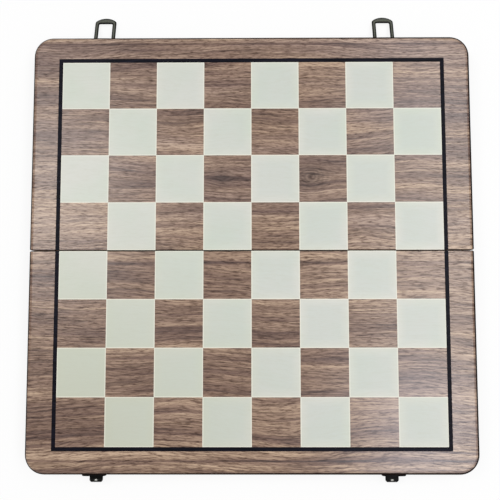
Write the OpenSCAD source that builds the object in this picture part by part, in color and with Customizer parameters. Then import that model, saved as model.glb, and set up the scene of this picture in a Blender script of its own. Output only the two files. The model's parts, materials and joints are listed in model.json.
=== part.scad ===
// Folding games box, laid open as a chequered board.
// Two shallow trays fold about hinges on their rims, so that the squares are outside when it is shut.
// The fold axis is the X axis. +Z is up and the squares face up; the front tray is at -Y.

/* [Playing field] */
// Side of one square
square = 41.5; // [32:0.5:52]
// Width of the dark line round the squares
line_width = 3.5; // [2:0.5:6]
// Walnut margin outside the dark line, at the two sides of the board
side_margin = 23; // [19:0.5:32]
// Walnut margin outside the dark line, at the two ends of the board
end_margin = 20; // [17:0.5:32]
// Depth of the light squares and the dark line in the veneer
inlay_depth = 0.3; // [0.2:0.05:0.4]
// Width of the light bridge where two light squares meet at their corners
corner_bridge = 0.3; // [0.2:0.1:0.8]

/* [Trays] */
// Height of one tray, from the fold axis to the squares
half_height = 25; // [20:0.5:36]
// Thickness of the rails
rail_t = 10; // [8:0.5:14]
// Thickness of the board under the veneer
core_t = 5; // [4:0.5:9]
// Thickness of the walnut veneer
veneer_t = 0.6; // [0.5:0.1:1]
// Plan radius of the four outer corners
corner_radius = 17; // [8:1:24]
// Plan radius of the corners at the seam
seam_corner_radius = 2; // [1:0.5:4]
// Radius of the rounded top edge
edge_radius = 4; // [2:0.5:5]
// Gap between the two trays when they lie flat
seam_gap = 0.8; // [0.6:0.1:1.6]
// Height of each rim over the fold axis
rim_gap = 0.1; // [0.05:0.05:0.3]

/* [Inside] */
// Thickness of the lining of each tray
lining_t = 0.6; // [0.5:0.1:1.5]
// Clearance round the lining
lining_gap = 0.2; // [0.1:0.1:0.5]
// Length of one backgammon point
point_length = 140; // [90:5:150]
// Gap between the bases of two points
point_gap = 1.2; // [0.6:0.2:3]
// Points along each end of a tray
points_per_end = 6; // [4:2:8]

/* [Hinges] */
// Distance from the side of the board to the middle of a hinge
hinge_inset = 62; // [45:1:110]
// Length of a hinge
hinge_length = 32; // [26:1:50]
// Thickness of a hinge leaf
leaf_t = 0.8; // [0.6:0.1:1]
// Wood left between a leaf and the inside of its rail
leaf_margin = 1.2; // [0.6:0.1:2]
// Radius of a hinge pin
hinge_pin_r = 0.8; // [0.6:0.1:1.2]
// Knuckles of a hinge, an odd number
knuckles = 5; // [3:2:7]
// Screws through one leaf
leaf_screws = 3; // [2:1:3]
// Length of a hinge screw
hinge_screw_length = 9; // [6:0.5:12]

/* [Latches] */
// Distance from the left side of the board to the middle of the left latch
latch_inset_left = 58.5; // [35:0.5:120]
// Distance from the right side of the board to the middle of the right latch
latch_inset_right = 72; // [35:0.5:120]
// Distance from the squares down to the top of the catch plates
plate_drop = 4.2; // [4:0.1:6]
// Distance from the squares down to the top of the hasp plates
hasp_drop = 6; // [4.2:0.1:7]
// Height of the hasp plate over its pivot
hasp_height = 11.5; // [11:0.1:14]
// Width of the hasp plate
hasp_width = 18; // [15:0.5:24]
// Thickness of the hasp plate
hasp_t = 1.2; // [1:0.1:1.4]
// Width of the catch plate
catch_width = 20.6; // [19:0.2:28]
// Thickness of the catch plate and its bill
catch_t = 1.5; // [1:0.1:1.6]
// Width of the catch's bill
bill_width = 11.4; // [8:0.2:12]
// Flat length of the bill, between its bend and its lip
bill_flat = 2.6; // [2:0.2:4]
// Width of a bail
bail_width = 19.4; // [18.4:0.2:24]
// Width of one leg of a bail
bail_leg = 3.5; // [2.5:0.1:3.6]
// Thickness of a bail
bail_t = 1.4; // [1:0.1:1.6]
// Radius of the bar that a bail turns on
bail_bar_r = 1; // [0.8:0.1:1.2]
// Distance from the top of the catch plate down to the end of the shut bail
bail_drop = 2; // [1.5:0.5:5]
// Thickness of a bail's arched end at its middle
bail_end_t = 6.2; // [4.2:0.2:7]
// Rise of a bail's arched end
bail_arch = 4.2; // [2:0.2:5]
// Distance of a bail's pivot from the wall
pivot_out = 2.5; // [2.4:0.1:3]
// Length of a latch screw
latch_screw_length = 8; // [6:0.5:9]

/* [Hidden] */
$fn = 64;
cut = 1;                                      // how far a cutter runs past what it cuts
fit = 0.05;                                   // radial clearance of a screw, or of a pin that turns
rows = 4;                                     // rows of squares on one tray
columns = 8;

board_width = columns * square + 2 * (line_width + side_margin);
tray_length = rows * square + line_width + end_margin;
side_x = board_width / 2;
seam_y = seam_gap / 2;
end_y = seam_y + tray_length;
field_x = columns * square / 2;
rail_top = half_height - veneer_t - core_t;
roundover = min(edge_radius, veneer_t + core_t);
inner_x = side_x - rail_t;
inner_seam_y = seam_y + rail_t;
inner_end_y = end_y - rail_t;

knuckle_bore = hinge_pin_r + fit;
knuckle_r = knuckle_bore + leaf_t;
knuckle_gap = 0.2;
knuckle_pitch = hinge_length / knuckles;
leaf_width = seam_y + rail_t - leaf_margin;
leaf_gap = 0.4;                               // clearance of a leaf and of the barrel in the rail
barrel_slot = knuckle_r + leaf_gap;
pin_head_r = hinge_pin_r + 0.5;
pin_head_t = 0.5;
hinge_places = [-side_x + hinge_inset, side_x - hinge_inset];
leaf_screw_y = (barrel_slot + leaf_width) / 2;
leaf_screw_pitch = hinge_length / leaf_screws;
hinge_shank_r = 1.1;
hinge_head_r = 1.95;

latch_places = [-side_x + latch_inset_left, side_x - latch_inset_right];
plate_top = half_height - plate_drop;
hasp_top = half_height - hasp_drop;
pivot_z = hasp_top - hasp_height;
pivot_y = end_y + pivot_out;
curl_bore = bail_bar_r + 0.08;
curl_r = curl_bore + 0.8;
leg_gap = 0.6;                                // clearance between a leg of the bail and what is between the legs
curl_width = bail_width - 2 * (bail_leg + leg_gap);
wing_z = pivot_z + curl_r + leg_gap;          // the plate's wings start over the legs of the bail
bail_length = pivot_z + plate_top - bail_drop;  // the trays are as high as each other when shut
bail_window = bail_length - bail_end_t;
bail_window_r = 1.2;
table_z = -knuckle_r;
table_gap = 0.3;
bail_angle = asin((pivot_z - table_z - bail_t / 2 - table_gap) / bail_length);

// The bill's lip stays just inside the circle that the end bar of the shutting bail goes round.
bend_in = 1;
lip_in = 6;
lip_angle = 30;
lip_gap = 0.25;
bend_y = catch_t + bend_in;
lip_y = bend_y + bill_flat + lip_in * sin(lip_angle);
lip_top = sqrt(pow(bail_window, 2) - pow(lip_y - pivot_out, 2)) - pivot_z - lip_gap;
bill_top = lip_top - lip_in * (1 - cos(lip_angle));
bend_z = bill_top + bend_in;
bill_corner = 2;
hasp_corner = 1.5;
catch_corner = 2;
latch_shank_r = 1.1;
latch_head_r = 2;
latch_screw_edge = latch_head_r + 0.8;
latch_screw_drop = 3.8;

walnut = "#a5836c";
dark_walnut = "#7d5c49";
cream = "#d9dacd";
black = "#1b1b22";
board_brown = "#b99a77";
bronze = "#4a4842";

// A tray is drawn on the +Y side. The front one is its mirror image.
module front() mirror([0, 1, 0]) children();

// Quarter of a square that is left outside a circle, for rounding a corner of an outline.
module corner_cutter(r) {
    difference() {
        square(r + cut);
        circle(r);
    }
}

// Section of the slab's edge: a block as wide as the corner radius, with its top outer corner rounded.
module edge_section(width, height, r) {
    difference() {
        square([width, height]);
        translate([width - r, height - r]) corner_cutter(r);
    }
}

// Slab of one tray, rounded over along its three outer edges and square at the seam.
module rounded_slab(x, near_y, far_y, low_z, high_z, plan_r, top_r) {
    straight_y = far_y - plan_r;
    height = high_z - low_z;
    translate([-(x - plan_r), near_y, low_z])
        cube([2 * (x - plan_r), straight_y - near_y, height]);
    for (side = [0, 1])
        mirror([side, 0, 0]) {
            translate([x - plan_r, straight_y, low_z]) {
                rotate([90, 0, 0])
                    linear_extrude(straight_y - near_y) edge_section(plan_r, height, top_r);
                rotate_extrude(angle = 90) edge_section(plan_r, height, top_r);
            }
        }
    translate([-(x - plan_r), straight_y, low_z])
        rotate([90, 0, 90])
            linear_extrude(2 * (x - plan_r)) edge_section(plan_r, height, top_r);
}

// The slab drawn in by a skin's thickness on its outer sides and its top.
module tray_slab(skin, low_z, near_y) {
    rounded_slab(side_x - skin, near_y, end_y - skin, low_z, half_height - skin,
                 corner_radius - skin, roundover - skin);
}

// Rounds the two corners at the seam, for anything that reaches them.
module seam_corners() {
    for (side = [0, 1])
        mirror([side, 0, 0])
            translate([side_x - seam_corner_radius, seam_y + seam_corner_radius, -cut])
                linear_extrude(half_height + 2 * cut)
                    mirror([0, 1, 0]) corner_cutter(seam_corner_radius);
}

module core_board() {
    color(board_brown)
        difference() {
            tray_slab(veneer_t, rail_top, seam_y);
            seam_corners();
        }
}

// The shape that the light squares print or inlay, at a depth under the squares' face.
module light_shape(parity, depth, over) {
    grow = corner_bridge / 2;
    intersection() {
        translate([-field_x, seam_y, half_height - depth])
            cube([2 * field_x, rows * square, depth + over]);
        union()
            for (row = [0 : rows - 1], column = [0 : columns - 1])
                if ((row + column) % 2 == parity)
                    translate([column * square - field_x - grow, seam_y + row * square - grow,
                               half_height - depth - cut])
                        cube([square + 2 * grow, square + 2 * grow, depth + over + 2 * cut]);
    }
}

// The dark line runs round three sides of the squares and is open at the seam.
module line_shape(depth, over) {
    difference() {
        translate([-field_x - line_width, seam_y, half_height - depth])
            cube([2 * (field_x + line_width), rows * square + line_width, depth + over]);
        translate([-field_x, seam_y - cut, half_height - depth - cut])
            cube([2 * field_x, rows * square + cut, depth + over + 2 * cut]);
    }
}

module walnut_veneer(parity) {
    color(walnut)
        difference() {
            tray_slab(0, rail_top, seam_y);
            tray_slab(veneer_t, rail_top - cut, seam_y - cut);
            seam_corners();
            light_shape(parity, inlay_depth, cut);
            line_shape(inlay_depth, cut);
        }
}

module light_squares(parity) {
    color(cream) light_shape(parity, inlay_depth, 0);
}

module border_line() {
    color(black) line_shape(inlay_depth, 0);
}

// Plan of the frame of rails under the core board.
module frame_plan() {
    difference() {
        translate([-side_x, seam_y]) square([board_width, tray_length]);
        translate([-inner_x, inner_seam_y])
            square([2 * inner_x, inner_end_y - inner_seam_y]);
        for (side = [0, 1])
            mirror([side, 0]) {
                translate([side_x - corner_radius, end_y - corner_radius])
                    corner_cutter(corner_radius);
                translate([side_x - seam_corner_radius, seam_y + seam_corner_radius])
                    mirror([0, 1]) corner_cutter(seam_corner_radius);
            }
    }
}

// One rail is the part of the frame between two mitres.
module rail(mitres) {
    color(dark_walnut)
        translate([0, 0, rim_gap])
            linear_extrude(rail_top - rim_gap)
                intersection() {
                    frame_plan();
                    polygon(mitres);
                }
}

module end_rail() {
    difference() {
        rail([[-inner_x, inner_end_y], [inner_x, inner_end_y],
              [side_x + cut, end_y + cut], [-side_x - cut, end_y + cut]]);
        children();
    }
}

module side_rail(side) {
    mirror([side, 0, 0])
        rail([[-inner_x, inner_seam_y], [-inner_x, inner_end_y],
              [-side_x - cut, end_y + cut], [-side_x - cut, seam_y - cut]]);
}

module hinge_rail() {
    difference() {
        rail([[-inner_x, inner_seam_y], [-side_x - cut, seam_y - cut],
              [side_x + cut, seam_y - cut], [inner_x, inner_seam_y]]);
        for (x = hinge_places) translate([x, 0, 0]) hinge_mortise();
    }
}

// Seat for one leaf, a deeper slot for the barrel, and the pilot holes.
module hinge_mortise() {
    translate([-hinge_length / 2 - leaf_gap, 0, -cut])
        cube([hinge_length + 2 * leaf_gap, leaf_width + leaf_gap, knuckle_r + cut]);
    slot = hinge_length + 2 * (pin_head_t + leaf_gap);
    translate([-slot / 2, 0, -cut])
        cube([slot, barrel_slot, barrel_slot + cut]);
    at_leaf_screws()
        cylinder(r = hinge_shank_r + fit, h = hinge_screw_length + fit);
}

// Places a child at each screw of a leaf, with +Z into the wood and the origin at the screw's head.
module at_leaf_screws() {
    for (k = [0 : leaf_screws - 1])
        translate([(k - (leaf_screws - 1) / 2) * leaf_screw_pitch, leaf_screw_y, knuckle_r - leaf_t])
            children();
}

// Countersunk screw with a cross recess. The head's face is at the origin and the shank runs along +Z.
module screw(head_r, shank_r, length) {
    point = shank_r * 1.5;
    slot_length = head_r * 1.2;
    slot_width = head_r * 0.24;
    slot_depth = head_r * 0.22;
    difference() {
        union() {
            cylinder(r1 = head_r, r2 = shank_r, h = head_r - shank_r);
            cylinder(r = shank_r, h = length - point);
            translate([0, 0, length - point]) cylinder(r1 = shank_r, r2 = shank_r / 4, h = point);
        }
        for (turn = [0, 90])
            rotate(turn)
                translate([-slot_length / 2, -slot_width / 2, -cut])
                    cube([slot_length, slot_width, cut + slot_depth]);
    }
}

// Hole for a countersunk screw through sheet that starts at the origin.
module screw_hole(head_r, shank_r) {
    translate([0, 0, -fit])
        cylinder(r1 = head_r + 2 * fit, r2 = shank_r + fit, h = head_r - shank_r + fit);
    cylinder(r = shank_r + fit, h = 2 * head_r);
}

// A leaf on the +Y side. Its knuckles start with the one numbered first, and every second one is its own.
module hinge_leaf(first) {
    color(bronze)
        difference() {
            union() {
                translate([-hinge_length / 2, barrel_slot, knuckle_bore])
                    cube([hinge_length, leaf_width - barrel_slot, leaf_t]);
                for (k = [first : 2 : knuckles - 1])
                    translate([k * knuckle_pitch - hinge_length / 2 + knuckle_gap / 2, 0, 0]) {
                        translate([0, 0, knuckle_bore])
                            cube([knuckle_pitch - knuckle_gap, barrel_slot + cut, leaf_t]);
                        rotate([0, 90, 0]) cylinder(r = knuckle_r, h = knuckle_pitch - knuckle_gap);
                    }
            }
            translate([-hinge_length, 0, 0])
                rotate([0, 90, 0]) cylinder(r = knuckle_bore, h = 2 * hinge_length);
            at_leaf_screws() screw_hole(hinge_head_r, hinge_shank_r);
        }
}

module hinge_pin() {
    reach = hinge_length / 2;
    color(bronze)
        rotate([0, 90, 0]) {
            translate([0, 0, -reach]) cylinder(r = hinge_pin_r, h = 2 * reach);
            for (z = [-reach - pin_head_t, reach])
                translate([0, 0, z]) cylinder(r = pin_head_r, h = pin_head_t);
        }
}

module hinge_screws() {
    color(bronze)
        for (x = hinge_places)
            translate([x, 0, 0])
                at_leaf_screws() screw(hinge_head_r, hinge_shank_r, hinge_screw_length);
}

// Places a child on the outer wall of a tray, with +Z into the wood.
module on_wall(x, out, z) {
    translate([x, end_y + out, z]) rotate([90, 0, 0]) children();
}

module at_hasp_screws(x) {
    dx = hasp_width / 2 - latch_screw_edge;
    for (side = [-1, 1]) on_wall(x + side * dx, hasp_t, hasp_top - latch_screw_drop) children();
}

module at_catch_screws(x) {
    dx = catch_width / 2 - latch_screw_edge;
    for (side = [-1, 1]) on_wall(x + side * dx, catch_t, plate_top - latch_screw_drop) children();
}

module latch_pilot() cylinder(r = latch_shank_r + fit, h = latch_screw_length + fit);

// Plate with rounded corners, in the X and Z directions, from the wall outwards.
module latch_plate(width, low_z, high_z, thick, r) {
    translate([0, end_y + thick, 0])
        rotate([90, 0, 0])
            linear_extrude(thick)
                difference() {
                    translate([-width / 2, low_z]) square([width, high_z - low_z]);
                    for (sx = [0, 1])
                        mirror([sx, 0]) {
                            translate([width / 2 - r, high_z - r]) corner_cutter(r);
                            translate([width / 2 - r, low_z + r]) mirror([0, 1]) corner_cutter(r);
                        }
                }
}

// The hasp plate is curled round the bar of the bail at its lower edge.
module hasp_plate(x) {
    color(bronze)
        difference() {
            translate([x, 0, 0]) {
                latch_plate(hasp_width, wing_z, hasp_top, hasp_t, hasp_corner);
                translate([-curl_width / 2, end_y, pivot_z])
                    cube([curl_width, hasp_t, hasp_top - latch_screw_drop - pivot_z]);
                translate([-curl_width / 2, pivot_y, pivot_z])
                    rotate([0, 90, 0]) cylinder(r = curl_r, h = curl_width);
            }
            translate([x - curl_width, pivot_y, pivot_z])
                rotate([0, 90, 0]) cylinder(r = curl_bore, h = 2 * curl_width);
            at_hasp_screws(x) screw_hole(latch_head_r, latch_shank_r);
        }
}

// Section of the bill: a bend at the foot of the plate, a flat stretch, and a lip that turns up.
module bill_section() {
    bend_out = bend_in + catch_t;
    lip_out = lip_in + catch_t;
    translate([bend_y, bend_z])
        difference() {
            circle(bend_out);
            circle(bend_in);
            translate([-2 * bend_out, 0]) square(4 * bend_out);
            translate([0, -2 * bend_out]) square(4 * bend_out);
        }
    translate([bend_y, bend_z - bend_out]) square([bill_flat, catch_t]);
    translate([bend_y + bill_flat, bill_top + lip_in])
        difference() {
            circle(lip_out);
            circle(lip_in);
            translate([-2 * lip_out, -2 * lip_out]) square([2 * lip_out, 4 * lip_out]);
            rotate(lip_angle - 90) translate([-2 * lip_out, 0]) square(4 * lip_out);
        }
}

module catch_plate(x) {
    tip_y = end_y + bend_y + bill_flat + (lip_in + catch_t) * sin(lip_angle);
    color(bronze)
        difference() {
            translate([x, 0, 0]) {
                latch_plate(catch_width, bend_z + bend_in + catch_t, plate_top, catch_t, catch_corner);
                translate([-bill_width / 2, end_y, bend_z])
                    cube([bill_width, catch_t, plate_top - latch_screw_drop - bend_z]);
                intersection() {
                    translate([-bill_width / 2, end_y, 0])
                        rotate([90, 0, 90]) linear_extrude(bill_width) bill_section();
                    translate([0, 0, -half_height])
                        linear_extrude(3 * half_height)
                            difference() {
                                translate([-bill_width / 2 - cut, end_y])
                                    square([bill_width + 2 * cut, tip_y - end_y]);
                                for (sx = [0, 1])
                                    mirror([sx, 0])
                                        translate([bill_width / 2 - bill_corner, tip_y - bill_corner])
                                            corner_cutter(bill_corner);
                            }
                }
            }
            at_catch_screws(x) screw_hole(latch_head_r, latch_shank_r);
        }
}

module latch_screw() screw(latch_head_r, latch_shank_r, latch_screw_length);

module hasp_screws() {
    color(bronze) for (x = latch_places) at_hasp_screws(x) latch_screw();
}

module catch_screws() {
    color(bronze) for (x = latch_places) at_catch_screws(x) latch_screw();
}

// Plan of a bail that points along +Y, with its pivot at the origin.
module bail_plan() {
    half = bail_width / 2;
    arch_r = (half * half + bail_arch * bail_arch) / (2 * bail_arch);
    leg_end = bail_length - bail_arch;
    difference() {
        union() {
            translate([-half, 0]) square([bail_width, leg_end]);
            intersection() {
                translate([0, bail_length - arch_r]) circle(arch_r);
                translate([-half, leg_end - cut]) square([bail_width, bail_arch + 2 * cut]);
            }
        }
        difference() {
            translate([-half + bail_leg, -cut]) square([bail_width - 2 * bail_leg, bail_window + cut]);
            for (side = [0, 1])
                mirror([side, 0])
                    translate([half - bail_leg - bail_window_r, bail_window - bail_window_r])
                        corner_cutter(bail_window_r);
        }
    }
}

// A bail hangs from the curl until its end is just over the table.
module bail(x) {
    color(bronze)
        translate([x, pivot_y, pivot_z])
            rotate([-bail_angle, 0, 0]) {
                translate([0, 0, -bail_t / 2]) linear_extrude(bail_t) bail_plan();
                translate([-bail_width / 2, 0, 0])
                    rotate([0, 90, 0]) cylinder(r = bail_bar_r, h = bail_width);
            }
}

// Sheet under the core board, inside the rails, with shallow seats for the points.
module lining_slab(gap) {
    translate([-inner_x + gap, inner_seam_y + gap, rail_top - lining_t])
        cube([2 * (inner_x - gap), inner_end_y - inner_seam_y - 2 * gap, lining_t]);
}

// Backgammon points of one colour. They start at the two side rails and face into the open tray.
module points_shape(parity, under) {
    first_y = inner_seam_y + lining_gap;
    pitch = (inner_end_y - inner_seam_y - 2 * lining_gap) / points_per_end;
    base_x = inner_x - lining_gap - point_gap;
    for (side = [0, 1], k = [0 : points_per_end - 1])
        if ((k + side) % 2 == parity)
            mirror([side, 0, 0])
                translate([0, first_y + k * pitch, rail_top - lining_t - under])
                    linear_extrude(inlay_depth + under)
                        polygon([[base_x, point_gap / 2], [base_x, pitch - point_gap / 2],
                                 [base_x - point_length, pitch / 2]]);
}

module lining() {
    color(walnut)
        difference() {
            lining_slab(lining_gap);
            for (parity = [0, 1]) points_shape(parity, cut);
        }
}

module light_points() color(cream) points_shape(0, 0);

module dark_points() color(black) points_shape(1, 0);

// The row nearest the seam starts with a light square in front and a walnut one behind.
front() core_board();  // front_core_board
front() walnut_veneer(0);  // front_walnut_veneer
front() light_squares(0);  // front_light_squares
front() border_line();  // front_border_line
front() end_rail() for (x = latch_places) at_catch_screws(x) latch_pilot();  // front_end_rail
front() side_rail(0);  // front_left_rail
front() side_rail(1);  // front_right_rail
front() hinge_rail();  // front_hinge_rail
front() lining();  // front_lining
front() light_points();  // front_light_points
front() dark_points();  // front_dark_points

core_board();  // back_core_board
walnut_veneer(1);  // back_walnut_veneer
light_squares(1);  // back_light_squares
border_line();  // back_border_line
end_rail() for (x = latch_places) at_hasp_screws(x) latch_pilot();  // back_end_rail
side_rail(0);  // back_left_rail
side_rail(1);  // back_right_rail
hinge_rail();  // back_hinge_rail
lining();  // back_lining
light_points();  // back_light_points
dark_points();  // back_dark_points

translate([hinge_places[0], 0, 0]) front() hinge_leaf(0);  // left_hinge_front_leaf
translate([hinge_places[0], 0, 0]) hinge_leaf(1);  // left_hinge_back_leaf
translate([hinge_places[0], 0, 0]) hinge_pin();  // left_hinge_pin
translate([hinge_places[1], 0, 0]) front() hinge_leaf(0);  // right_hinge_front_leaf
translate([hinge_places[1], 0, 0]) hinge_leaf(1);  // right_hinge_back_leaf
translate([hinge_places[1], 0, 0]) hinge_pin();  // right_hinge_pin
front() hinge_screws();  // front_hinge_screws
hinge_screws();  // back_hinge_screws

front() catch_plate(latch_places[0]);  // left_catch
front() catch_plate(latch_places[1]);  // right_catch
front() catch_screws();
hasp_plate(latch_places[0]);  // left_hasp_plate
hasp_plate(latch_places[1]);  // right_hasp_plate
hasp_screws();
bail(latch_places[0]);  // left_bail
bail(latch_places[1]);  // right_bail
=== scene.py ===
# %% [markdown]
# # A folding games box, laid open as a chequered board
# Two shallow walnut trays are hinged at the seam. The squares are on the outside when the box is shut.
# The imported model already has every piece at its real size, so this lesson is mostly about finishes:
# wood that looks like one sheet of veneer, paint that lets the grain show, and plated metal.
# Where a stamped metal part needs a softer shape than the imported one, a new mesh takes its place.

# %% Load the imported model
import bmesh
import bpy
import json
import math
from mathutils import Matrix, Vector


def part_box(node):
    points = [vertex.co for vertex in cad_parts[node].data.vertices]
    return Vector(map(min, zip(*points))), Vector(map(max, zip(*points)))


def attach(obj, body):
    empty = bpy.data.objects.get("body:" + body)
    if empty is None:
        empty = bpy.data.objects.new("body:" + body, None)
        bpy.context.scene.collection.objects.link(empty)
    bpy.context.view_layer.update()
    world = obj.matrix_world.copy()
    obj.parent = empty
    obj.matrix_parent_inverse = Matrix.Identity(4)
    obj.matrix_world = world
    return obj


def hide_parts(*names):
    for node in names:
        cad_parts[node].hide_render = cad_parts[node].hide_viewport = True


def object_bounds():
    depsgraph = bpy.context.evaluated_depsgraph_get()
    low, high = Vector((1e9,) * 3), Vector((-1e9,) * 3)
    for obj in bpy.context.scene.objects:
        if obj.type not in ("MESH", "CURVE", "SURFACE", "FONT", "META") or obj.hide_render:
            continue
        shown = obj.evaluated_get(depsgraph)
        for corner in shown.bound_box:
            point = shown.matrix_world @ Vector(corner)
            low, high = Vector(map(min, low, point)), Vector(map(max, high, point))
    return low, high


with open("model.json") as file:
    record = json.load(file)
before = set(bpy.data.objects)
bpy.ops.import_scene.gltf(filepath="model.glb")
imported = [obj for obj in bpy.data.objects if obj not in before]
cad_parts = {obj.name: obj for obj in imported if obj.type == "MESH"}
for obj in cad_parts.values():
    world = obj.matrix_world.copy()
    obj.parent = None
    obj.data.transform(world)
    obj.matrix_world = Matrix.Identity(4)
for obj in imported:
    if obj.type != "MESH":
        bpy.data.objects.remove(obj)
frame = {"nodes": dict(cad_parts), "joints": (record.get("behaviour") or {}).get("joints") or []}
nodes = frame["nodes"]
packed_low, packed_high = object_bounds()

# %% [markdown]
# ## Sizes that the looks depend on
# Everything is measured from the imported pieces, so that a pattern always lands on the piece it belongs to.
# Blender works in metres. Wood grain and small parts are easier to think about in millimetres, so those
# are used for them, and only the lamps and the table are given in metres.

# %% Measure the board
MM = 0.001
SIDES = ("left", "right")
columns = 8
squares_low, squares_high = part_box("front_light_squares")
square = (squares_high.x - squares_low.x) / columns / MM
seam_half = -squares_high.y / MM
face_z = packed_high.z / MM
end_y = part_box("back_walnut_veneer")[1].y / MM
table_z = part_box("left_hinge_front_leaf")[0].z / MM
hinge_of = {joint["child"]: joint for joint in frame["joints"]}
pivots = {side: Vector(hinge_of[side + "_bail"]["pos_m"]) / MM for side in SIDES}
print("squares of", round(square, 2), "mm, table at", round(table_z, 2), "mm")
print("bails turn at", {side: [round(v, 1) for v in pivot] for side, pivot in pivots.items()})

# %% [markdown]
# ## The camera
# The picture is taken from almost straight above, a little towards the front edge, at about 60 cm.
# From that near, the nearer edge looks wider than the far one, so the distance matters as much as the angle.
# A camera with no turn looks straight down with +Y up, so only small turns are needed.

# %% Place the camera
camera_spot = Vector((2.8, -49.7, 626.6)) * MM
camera_turn = [math.radians(a) for a in (4.75, 0.39, -0.06)]
lens_mm = 50.4
sensor_mm = 36

camera_data = bpy.data.cameras.new("camera")
camera_data.lens = lens_mm
camera_data.sensor_width = sensor_mm
camera = bpy.data.objects.new("camera", camera_data)
camera.rotation_euler = camera_turn
camera.location = camera_spot
bpy.context.scene.collection.objects.link(camera)
bpy.context.scene.camera = camera
print("camera", round(camera_spot.z / MM), "mm up, lens", lens_mm, "mm")

# %% [markdown]
# ## Small helpers for shader nodes
# A material is a tree of nodes. These few functions add a node, set its inputs and link it in one line.
# A value that is a socket is linked, and any other value is written on the input itself.

# %% Node helpers
def put(tree, kind, values=(), **settings):
    made = tree.nodes.new(kind)
    for name, value in settings.items():
        setattr(made, name, value)
    for name, value in dict(values).items():
        if isinstance(value, bpy.types.NodeSocket):
            tree.links.new(value, made.inputs[name])
        else:
            made.inputs[name].default_value = value
    return made


def calc(tree, operation, *values):
    return put(tree, "ShaderNodeMath", enumerate(values), operation=operation).outputs[0]


def vector_calc(tree, operation, *values):
    made = put(tree, "ShaderNodeVectorMath", enumerate(values), operation=operation)
    return made.outputs["Value" if operation in ("LENGTH", "DOT_PRODUCT") else "Vector"]


def axes(tree, vector):
    return put(tree, "ShaderNodeSeparateXYZ", {"Vector": vector}).outputs


def vector_of(tree, **parts):
    return put(tree, "ShaderNodeCombineXYZ", parts).outputs[0]


def noise(tree, place, scale=1.0, detail=2.0, roughness=0.5):
    values = {"Vector": place, "Scale": scale, "Detail": detail, "Roughness": roughness}
    return put(tree, "ShaderNodeTexNoise", values).outputs[0]


print("a noise takes a place, and a calc takes numbers or sockets")

# %% [markdown]
# ## Helpers that shape a value
# Most patterns are made of three moves. A span turns one range of a value into another, and holds at its
# ends. A bell is 1 in the middle and fades on both sides. A blend mixes two colours by a share.

# %% Helpers for spans, bells and colours
def span(tree, value, low, high, to_low=0.0, to_high=1.0):
    values = {"Value": value, "From Min": low, "From Max": high, "To Min": to_low, "To Max": to_high}
    return put(tree, "ShaderNodeMapRange", values).outputs[0]


def bell(tree, off):
    """1 where off is 0, and nearly 0 where it is 2 either way."""
    return calc(tree, "POWER", math.e, calc(tree, "MULTIPLY", calc(tree, "MULTIPLY", off, off), -1.0))


def soft_band(tree, value, centre, half_width):
    """1 at the centre, falling to 0 over about two half widths."""
    return bell(tree, calc(tree, "DIVIDE", calc(tree, "SUBTRACT", value, centre), half_width))


def blend(tree, share, a, b, way="MIX"):
    made = put(tree, "ShaderNodeMix", {0: share, 6: a, 7: b}, data_type="RGBA", blend_type=way)
    return made.outputs[2]


def ramp(tree, value, stops):
    made = put(tree, "ShaderNodeValToRGB", {"Fac": value})
    points = made.color_ramp.elements
    while len(points) < len(stops):
        points.new(0.5)
    for point, (where, colour) in zip(points, stops):
        point.position = where
        point.color = colour
    return made.outputs["Color"]


def tint(red, green, blue):
    """A colour as a picture program gives it, 0 to 255, in the linear numbers that Blender uses."""
    shares = (level / 255 for level in (red, green, blue))
    return tuple(s / 12.92 if s < 0.04 else ((s + 0.055) / 1.055) ** 2.4 for s in shares) + (1.0,)


print("a middle grey of 128 is", round(tint(128, 128, 128)[0], 3), "in linear light")

# %% [markdown]
# ## Effects as node groups
# Several finishes share an effect, such as the grain. A node group holds it once, with named inputs, and
# each material places it with values of its own. A group gives out colours, masks and heights only;
# the shader itself stays in the material.

# %% Group helpers
SOCKETS = {"number": "NodeSocketFloat", "vector": "NodeSocketVector", "colour": "NodeSocketColor"}


def new_group(name, inputs, outputs):
    """A node group with these sockets, and the ends inside it that read and give their values."""
    tree = bpy.data.node_groups.new(name, "ShaderNodeTree")
    for label, kind in inputs.items():
        tree.interface.new_socket(label, in_out="INPUT", socket_type=SOCKETS[kind])
    for label, kind in outputs.items():
        tree.interface.new_socket(label, in_out="OUTPUT", socket_type=SOCKETS[kind])
    return tree, put(tree, "NodeGroupInput").outputs, put(tree, "NodeGroupOutput").inputs


def give(group, result, **values):
    """Links what the group worked out to its outputs, by name."""
    for label, value in values.items():
        group.links.new(value, result[label])
    print(group.name, "group:", len(group.nodes), "nodes")


def use(tree, group, **values):
    """A copy of the group in this tree, with its inputs given by name."""
    return put(tree, "ShaderNodeGroup", values, node_tree=group).outputs


print("group sockets can be", ", ".join(SOCKETS))

# %% [markdown]
# ## Grain
# Veneer is a slice through growth rings, so its lines run along the board and wander together.
# Stretched noise gives that: the same noise, read very slowly along the grain and quickly across it.
# The place is first pushed sideways by a slow noise, so that the lines wander without crossing.
# The group gives five layers: broad bands, streaks a few millimetres wide, thin lines where a ring ends,
# short pores, and fibres finer than the picture shows, for views from near by. A thin line lies where a
# noise passes through its middle value, which gives it a crisp edge that a plain noise never has.

# %% Build the grain group
grain, given, result = new_group(
    "grain",
    {"Place": "vector", "Wander": "number"},
    {"Bands": "number", "Streaks": "number", "Lines": "number", "Pores": "number", "Fibres": "number"})
ripple_mm = 2.5


def stretched(place, along, across):
    """The place as a noise reads it, in its own steps for each millimetre along and across the grain."""
    return vector_calc(grain, "MULTIPLY", place, (along, across, across))


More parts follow.
